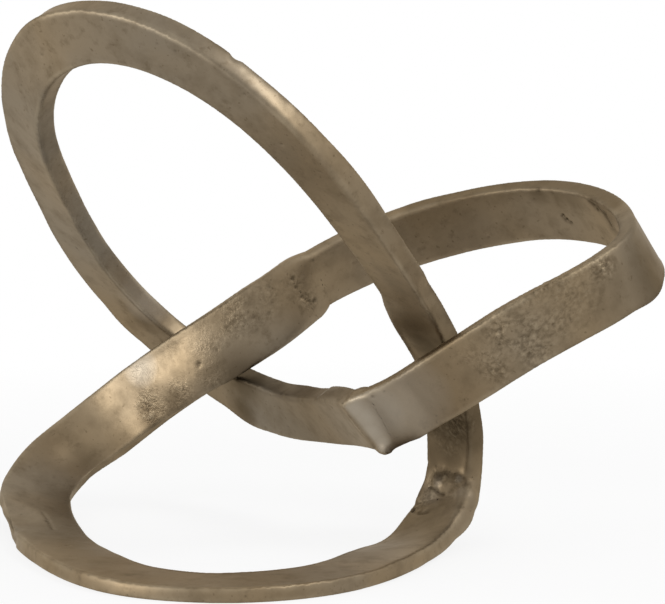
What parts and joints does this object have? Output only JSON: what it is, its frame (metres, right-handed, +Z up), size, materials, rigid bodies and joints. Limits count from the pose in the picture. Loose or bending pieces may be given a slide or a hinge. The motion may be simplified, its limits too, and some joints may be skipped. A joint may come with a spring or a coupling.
{
  "type": "knot sculpture",
  "caption": "Free-standing metal sculpture: flat cast bars welded end to end into a three-lobed knot that rests on its lower loop.",
  "frame": {"origin": "on the table under the middle of the knot's bounding box", "axes": "+X to the right across the longest extent, +Y to the back, +Z up; the pictured side looks along -Y"},
  "size_m": [0.3583, 0.2863, 0.2864],
  "materials": {
    "cast_metal": "satin antique-brass patina over cast metal, with worn edges",
    "weld_metal": "dressed weld metal under the same patina"
  },
  "bodies": {
    "root": {"upper_loop": "cast_metal", "right_loop": "cast_metal", "lower_loop": "cast_metal", "front_weld": "weld_metal", "rear_weld": "weld_metal", "side_weld": "weld_metal"}
  },
  "joints": []
}
